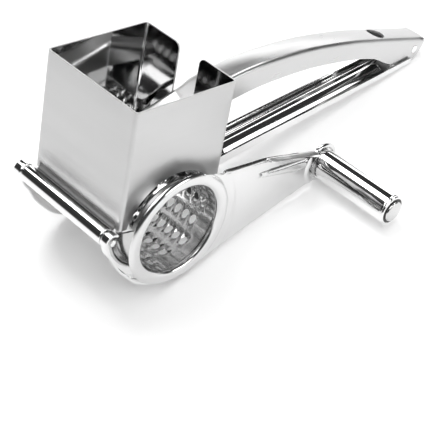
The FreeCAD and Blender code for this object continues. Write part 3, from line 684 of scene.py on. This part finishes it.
# The lever's pin, riveted flush in both cheeks.
lever_pin_side = [(0.01, -7.15), (1.3, -7.1), (1.95, -6.95), (2.15, -6.8), (PIN, -6.78), (PIN, 0)]
lever_pin = turned(both_ends(lever_pin_side), PIVOT, 40).piece("lever_rivet")
place_piece(lever_pin, polished("lever rivet steel", 0.8, 0.12, 0.2), "lever", "polished_steel", "lever_pin")

# ------------------------------------------------------------------ press plate
# A curved plate that follows the drum, with round corners, riveted under the
# neck through a small foot.
PRESS_IN = 26.0
PRESS_FRONT, PRESS_REAR, PRESS_HALF = -22.0, 18.0, 25.3
PRESS_CORNER, PRESS_GAUGE = 3, 1.0
PRESS_LENGTH = 44
press_start = math.degrees(math.acos(PRESS_FRONT / PRESS_IN))
press_end = math.degrees(math.acos(PRESS_REAR / PRESS_IN))


def press_width(share):
    """Half width of the plate, rounded in at its front and rear edges."""
    from_end = max(0, PRESS_CORNER - min(share, 1 - share) * PRESS_LENGTH)
    return PRESS_HALF - PRESS_CORNER + math.sqrt(PRESS_CORNER ** 2 - from_end ** 2)


press = Surface()
press_rows = []
for share in [0, 0.006, 0.02, 0.04, 0.068] + steps(0.1, 0.9, 25) + [0.932, 0.96, 0.98, 0.994, 1]:
    angle = math.radians(press_start + (press_end - press_start) * share)
    press_rows.append([(PRESS_IN * math.cos(angle), y * press_width(share), PRESS_IN * math.sin(angle))
                       for y in steps(-1, 1, 21)])
press.rows(press_rows)
press_piece = press.piece("curved_press_plate")
thicken(press_piece, PRESS_GAUGE, 1)
soften(press_piece, 0.2)
place_piece(press_piece, polished("press plate steel", 0.84, 0.09, 0.18), "lever", "satin_lever",
            "press_plate")
foot_steel = polished("press foot steel", 0.78, 0.16, 0.28)
for name in ("press_foot", "press_rivet_front", "press_rivet_rear"):
    keep_part(name, foot_steel)

# ------------------------------------------------------------------ grating drum
# A tube rolled from bright 0.7 mm sheet with a lapped seam and a rolled far rim.
# Staggered rows of oval holes are punched through it, and one side of each hole
# is raised outwards as a cutting tooth.
DRUM = 21.7
DRUM_NEAR, DRUM_FAR = -31.5, 30.4
DRUM_WALL = 0.7
NECK_LENGTH = 4.6
ROWS = 14
TEETH = 10
PITCH = 4.7
TOOTH_ACROSS, TOOTH_ALONG = 2.1, 1.5
TOOTH_RISE, TOOTH_SINK = 1.25, 0.35
TOOTH_RINGS = (0.0, 0.30, 0.55, 0.76, 0.90, 0.97, 1.0)
CELL = 6
BEAD, BEAD_GAUGE = 1.1, 0.3
SEAM_ROW = 9.5


def on_drum(around, y, rise=0.0):
    """A point on the drum: around in millimetres of its surface, y along it."""
    angle = around / DRUM
    return ((DRUM + rise) * math.cos(angle), y, (DRUM + rise) * math.sin(angle))


drum = Surface()
row_width = 2 * math.pi * DRUM / ROWS
teeth_near = DRUM_NEAR + NECK_LENGTH
teeth_far = teeth_near + TEETH * PITCH + PITCH / 2
corner_run = steps(-0.5, 0.5, CELL + 1)[:-1]
cell_edge = [(share, -0.5) for share in corner_run] + [(0.5, share) for share in corner_run]
cell_edge += [(-across, -along) for across, along in cell_edge]
for row in range(ROWS):
    middle = row * row_width
    row_near = teeth_near + (PITCH / 2 if row % 2 else 0.0)
    for tooth in range(TEETH):
        y_middle = row_near + (tooth + 0.5) * PITCH
        rings = []
        for ring in TOOTH_RINGS:
            points = []
            for across, along in cell_edge:
                angle = math.atan2(along, across)
                u = across * row_width * (1 - ring) + TOOTH_ACROSS * math.cos(angle) * ring
                v = along * PITCH * (1 - ring) + TOOTH_ALONG * math.sin(angle) * ring
                lift = TOOTH_RISE * ring ** 1.6 * (0.5 + 0.5 * math.cos(angle)) ** 1.3
                points.append(on_drum(middle + u, y_middle + v, lift - TOOTH_SINK * ring ** 2))
            rings.append(points)
        drum.rows(rings, around=True)
    gap_near = teeth_near if row % 2 else teeth_far - PITCH / 2
    for plain in (steps(DRUM_NEAR, teeth_near, 5), steps(teeth_far, DRUM_FAR, 6),
                  steps(gap_near, gap_near + PITCH / 2, CELL // 2 + 1)):
        drum.rows([[on_drum(middle + share * row_width, y) for share in steps(-0.5, 0.5, CELL + 1)]
                   for y in plain])
drum_piece = drum.piece("toothed_drum")
thicken(drum_piece, DRUM_WALL)
soften(drum_piece, 0.08, 50)

drum_finish = Finish(bpy.data.materials.new("bright drum sheet"))
here = drum_finish.place()
smear = drum_finish.noise(here, 55, 5)
scuffs = drum_finish.noise(here, 700, 4, (0.2, 1.0, 0.2))
drum_steel = drum_finish.surface({
    "Base Color": drum_finish.blend(smear, grey(0.60), grey(0.70)), "Metallic": 1.0,
    "Roughness": drum_finish.between(smear * 0.6 + scuffs * 0.4, 0.3, 0.75, 0.09, 0.20),
    "Normal": drum_finish.bump(scuffs + smear, 0.2, 0.00008)})
place_piece(drum_piece, drum_steel, "drum", "drum_steel", "grating_drum")

# The rolled rim at the open end, and the lapped seam's strip inside the tube.
bead_line = [(DRUM - 0.05, DRUM_FAR - 2 * BEAD)]
bead_line += [(DRUM + 0.9 + BEAD * math.cos(math.radians(angle)) * 0.98,
               DRUM_FAR - BEAD + BEAD * math.sin(math.radians(angle))) for angle in steps(-100, 200, 17)]
bead = turned(bead_line, Vector((0, 0, 0)), 96).piece("rolled_rim")
thicken(bead, BEAD_GAUGE)
place_piece(bead, drum_steel, "drum", "drum_steel", "drum_rim_bead")
seam_section = [(-1.9, 0.0), (-1.8, 0.28), (-1.5, 0.34), (1.5, 0.34), (1.8, 0.28), (1.9, 0.0)]
seam = Surface()
seam.rows([[on_drum(row_width * SEAM_ROW + u, y, -DRUM_WALL - 0.02 - lift) for u, lift in seam_section]
           for y in steps(DRUM_NEAR + 0.6, DRUM_FAR - 0.4, 30)])
seam_piece = seam.piece("lapped_seam")
place_piece(seam_piece, drum_steel, "drum", "drum_steel")

# ------------------------------------------------------------------ crank plate
# One pressing of 1.2 mm sheet, spot-welded on the drum's mouth: a crowned ring,
# a tapering arm with a long pointed rib, and a dished boss for the knob.  Beside
# the boss the arm's upper edge is turned outwards.
PLATE = -32.7
PLATE_GAUGE = 1.15
MOUTH, RING = 21.2, 25.7
BOSS_R = 9.6
BOSS_SPOT = (BOSS.x, BOSS.z)
ARM_TOP = [(10.3, 23.55), (21.1, 20.6), (33.0, 19.5), (46.5, 18.5), (63.0, 15.2), (80.1, 11.8)]
ARM_BOTTOM = [(7.9, -24.45), (24.0, -19.6), (41.0, -14.7), (57.7, -9.8), (72.0, -5.7), (80.3, -3.4)]
RIB_START, RIB_END = (37.0, 12.8), (74.5, 8.6)
TURNED_START, TURNED_END = 47.0, 79.0
TURNED_OUT, TURNED_LAP = -36.7, 2.4
TURNED_BEND, TURNED_CORNER, TURNED_GAUGE = 1.1, 1.6, 0.9
CROWN_EDGE, CROWN_HEIGHT = 24.6, 0.75
RIM_STEP_EDGE, RIM_STEP = 29.6, 0.30
MOUTH_ROLL, EDGE_ROLL = 1.35, 0.85
RIB_HALF_WIDTH, RIB_HEIGHT = 3.1, 1.15
DISH_EDGE, DISH_HEIGHT = 7.2, 0.8
FAR_FROM_EDGE = 9.0


def along_line(line, share):
    """The point at a share of a line's length."""
    lengths = [math.dist(a, b) for a, b in zip(line, line[1:])]
    left = share * sum(lengths)
    for (first, last), length in zip(zip(line, line[1:]), lengths):
        if left <= length:
            return between(first, last, left / length)
        left -= length
    return line[-1]


def pressed_height(x, z, from_edge):
    """How far the plate's face is pressed outwards at a place."""
    radius = math.hypot(x, z)
    ring = CROWN_HEIGHT * (1 - smooth((radius - CROWN_EDGE) / 2.2))
    ring += RIM_STEP * (1 - smooth((radius - RIM_STEP_EDGE) / 2.4))
    ring -= MOUTH_ROLL * (1 - smooth((radius - MOUTH) / 1.5)) ** 1.5
    run = (RIB_END[0] - RIB_START[0], RIB_END[1] - RIB_START[1])
    length = math.hypot(*run)
    forward = ((x - RIB_START[0]) * run[0] + (z - RIB_START[1]) * run[1]) / length
    aside = abs((x - RIB_START[0]) * run[1] - (z - RIB_START[1]) * run[0]) / length
    half = RIB_HALF_WIDTH * min(1.0, max(0.0, forward / length)) ** 0.7
    if forward > length - half:
        aside = math.hypot(aside, forward - (length - half))
    rib = RIB_HEIGHT * (1 - smooth((aside - half + 1.5) / 1.7)) * smooth(forward / 5)
    boss = math.dist((x, z), BOSS_SPOT)
    dish = DISH_HEIGHT * smooth((boss - DISH_EDGE) / 0.9) * (1 - smooth((boss - BOSS_R - 0.2) / 1.8))
    rolled = EDGE_ROLL * (1 - smooth(from_edge / 0.95)) ** 1.4
    return max(ring, rib * smooth((radius - 30) / 6), dish) - rolled


def plate_point(x, z, from_edge):
    """The plate's face at a place, pressed features included."""
    return (x, PLATE - pressed_height(x, z, from_edge), z)


ring_low = math.degrees(math.atan2(ARM_BOTTOM[0][1], ARM_BOTTOM[0][0]))
ring_high = math.degrees(math.atan2(ARM_TOP[0][1], ARM_TOP[0][0]))
boss_low = math.degrees(math.atan2(ARM_BOTTOM[-1][1] - BOSS.z, ARM_BOTTOM[-1][0] - BOSS.x)) + 360
boss_high = math.degrees(math.atan2(ARM_TOP[-1][1] - BOSS.z, ARM_TOP[-1][0] - BOSS.x))
across_shares = [0, 0.006, 0.013, 0.021, 0.032] + steps(0.05, 0.95, 62) + [0.968, 0.979, 0.987, 0.994, 1]
ring_angles = [ring_low + (ring_high - ring_low) * share for share in across_shares]
ring_angles += steps(ring_high, ring_low + 360, 110)[1:-1]
boss_angles = [boss_low + (boss_high - boss_low) * share for share in across_shares]
boss_angles += steps(boss_high, boss_low - 360, 60)[1:-1]


def round_part(surface, centre, angles, radii, joined):
    """A flat ring of the plate; its outer edge is rolled where no arm joins it."""
    rows = []
    for radius in radii:
        row = []
        for number, angle in enumerate(angles):
            x = centre[0] + radius * math.cos(math.radians(angle))
            z = centre[1] + radius * math.sin(math.radians(angle))
            free = min(number - joined, len(angles) - number) if number > joined else 0
            from_edge = radii[-1] - radius + FAR_FROM_EDGE * (1 - min(1, free / 3))
            row.append(plate_point(x, z, from_edge))
        rows.append(row)
    surface.rows(rows, around=True)


plate = Surface()
last_shared = len(across_shares) - 1
ring_radii = [MOUTH, 21.4, 21.7, 22.1, 22.5, 23.0, 23.6, 24.2, 24.6, 24.9, 25.2, 25.4, 25.55, RING]
boss_radii = [0.4, 2, 4, 6, 7, 7.3, 7.6, 7.9, 8.2, 8.6, 8.9, 9.15, 9.3, 9.45, BOSS_R]
round_part(plate, (0, 0), ring_angles, ring_radii, last_shared)
round_part(plate, BOSS_SPOT, boss_angles, boss_radii, last_shared)
top_line, bottom_line = curve(ARM_TOP, 10), curve(ARM_BOTTOM, 10)


def on_circle(centre, radius, angles):
    """Points on a circle at these angles, in degrees."""
    return [(centre[0] + radius * math.cos(math.radians(angle)),
             centre[1] + radius * math.sin(math.radians(angle))) for angle in angles]


# The arm's four sides are the ring, the boss and its two edges; each inner point
# is blended from all four, so the three parts share their seams' points.
ring_side = on_circle((0, 0), RING, ring_angles[:last_shared + 1])
boss_side = on_circle(BOSS_SPOT, BOSS_R, boss_angles[:last_shared + 1])
arm_rows = []
for length_share in steps(0, 1, 96):
    low, high = along_line(bottom_line, length_share), along_line(top_line, length_share)
    row = []
    for share, ring_point, boss_point in zip(across_shares, ring_side, boss_side):
        x, z = [(1 - share) * low[axis] + share * high[axis]
                + (1 - length_share) * ring_point[axis] + length_share * boss_point[axis]
                - (1 - share) * ((1 - length_share) * ring_side[0][axis] + length_share * boss_side[0][axis])
                - share * ((1 - length_share) * ring_side[-1][axis] + length_share * boss_side[-1][axis])
                for axis in (0, 1)]
        in_arm = min(1, 6 * min(length_share, 1 - length_share))
        from_edge = min(share, 1 - share) * math.dist(low, high) + FAR_FROM_EDGE * (1 - in_arm)
        row.append(plate_point(x, z, from_edge))
    arm_rows.append(row)
plate.rows(arm_rows)
plate_piece = plate.piece("crank_pressing")
thicken(plate_piece, PLATE_GAUGE, even=False)
soften(plate_piece, 0.15, 50)

# The arm's upper edge, turned outwards beside the boss; its front corner is round.
turned_edge = Surface()
turned_rows = []
turned_places = [TURNED_START + further for further in (0, 0.15, 0.6, 1.4)] + steps(49.5, TURNED_END, 30)
root = PLATE + 0.2
for x in turned_places:
    z = next(a[1] + (b[1] - a[1]) * (x - a[0]) / (b[0] - a[0])
             for a, b in zip(top_line, top_line[1:]) if a[0] <= x <= b[0])
    in_corner = max(0, TURNED_START + TURNED_CORNER - x)
    corner = TURNED_CORNER - math.sqrt(max(0, TURNED_CORNER ** 2 - in_corner ** 2))
    bend = [(z - TURNED_BEND + height, root - TURNED_BEND + out)
            for out, height in arc((0, 0), TURNED_BEND, 0, 90, 7)]
    out = [(z, y) for y in steps(bend[-1][1] - 0.2, TURNED_OUT + corner, 5)]
    turned_rows.append([(x, y, height) for height, y in [(z - TURNED_LAP, root)] + bend + out])
turned_edge.rows(turned_rows)
turned_piece = turned_edge.piece("turned_arm_edge", flip=True)
thicken(turned_piece, TURNED_GAUGE, even=False)
soften(turned_piece, 0.15)

crank = Finish(bpy.data.materials.new("pressed crank steel"))
here = crank.place()
wash = crank.noise(here, 38, 4)
grain = crank.noise(here, 900, 4, (0.25, 1.0, 1.0))
crank_steel = crank.surface({
    "Base Color": crank.blend(wash, grey(0.66), grey(0.76)), "Metallic": 1.0,
    "Roughness": crank.between(wash * 0.6 + grain * 0.4, 0.3, 0.72, 0.10, 0.22),
    "Normal": crank.bump(wash * 3 + grain * 0.4, 0.22, 0.00012)})
place_piece(plate_piece, crank_steel, "drum", "crank_steel", "crank_plate")
place_piece(turned_piece, crank_steel, "drum", "crank_steel")

# ------------------------------------------------------------------ turning knob
# A bright tube that turns on a riveted axle between two dark nylon bushes.  Its
# rim is rolled over the outer bush, and the axle's broad head sits proud in it.
KNOB = 7.0
KNOB_NEAR, KNOB_FAR = -34.0, -75.8
BUSH, BUSH_PLAY = 6.15, 0.15
AXLE = 3.0
near_rim = [(0.8, 0.1), (0.5, 0), (0.15, 0.15), (0, 0.6)]
far_rim = [(0, 1.5), (0.12, 1.32), (0, 1.12), (0, 0.6), (0.18, 0.2), (0.6, 0.02), (1.05, 0.05),
           (1.2, 0.35), (1.2, 2.4)]
knob_side = [(KNOB - inward, KNOB_NEAR - along) for inward, along in near_rim]
knob_side += [(KNOB, y) for y in steps(KNOB_NEAR - 2, KNOB_FAR + 2.2, 24)]
knob_side += [(KNOB - inward, KNOB_FAR + along) for inward, along in far_rim]
knob_piece = turned(knob_side, BOSS, 80).piece("knob_tube")
soften(knob_piece, 0.05)
place_piece(knob_piece, polished("bright knob tube", 0.80, 0.04, 0.08), "knob", "polished_steel",
            "knob_sleeve")

axle_side = [(0.01, -77.0), (3.2, -76.98), (4.2, -76.85), (4.65, -76.6), (4.8, -76.25), (4.8, -75.9),
             (4.6, -75.7), (AXLE, -75.7), (AXLE, -31.6), (4.3, -31.5), (4.4, -31.1), (4.0, -30.85),
             (0.01, -30.8)]
axle_piece = turned(axle_side, BOSS, 56).piece("knob_axle_rivet")
soften(axle_piece, 0.05)
place_piece(axle_piece, polished("axle head steel", 0.62, 0.12, 0.22), "drum", "polished_steel", "knob_axle")
spacer_side = [(AXLE + PIN_PLAY, -33.65), (5.7, -33.7), (6.0, -33.4), (6.0, -32.9), (5.8, -32.7),
               (AXLE + PIN_PLAY, -32.7)]
spacer_piece = turned(spacer_side, BOSS, 56).piece("knob_spacer")
place_piece(spacer_piece, polished("spacer steel", 0.72, 0.14, 0.24), "drum", "polished_steel", "knob_washer")

nylon = Finish(bpy.data.materials.new("dark nylon"))
here = nylon.place()
fleck = nylon.noise(here, 1400, 3)
nylon_black = nylon.surface({
    "Base Color": nylon.blend(fleck, grey(0.010), grey(0.022)),
    "Roughness": nylon.between(fleck, 0.3, 0.7, 0.34, 0.52), "Normal": nylon.bump(fleck, 0.2, 0.00004)})
for name, first, last in (("inner", -33.95, -36.9), ("outer", -72.8, -75.6)):
    bush_side = [(AXLE + BUSH_PLAY, first), (BUSH - 0.2, first), (BUSH, first - 0.2), (BUSH, last + 0.2),
                 (BUSH - 0.2, last), (AXLE + BUSH_PLAY, last)]
    bush = turned(bush_side, BOSS, 56).piece("nylon_bush_" + name)
    place_piece(bush, nylon_black, "knob", "dark_plastic", "knob_bush_" + name)
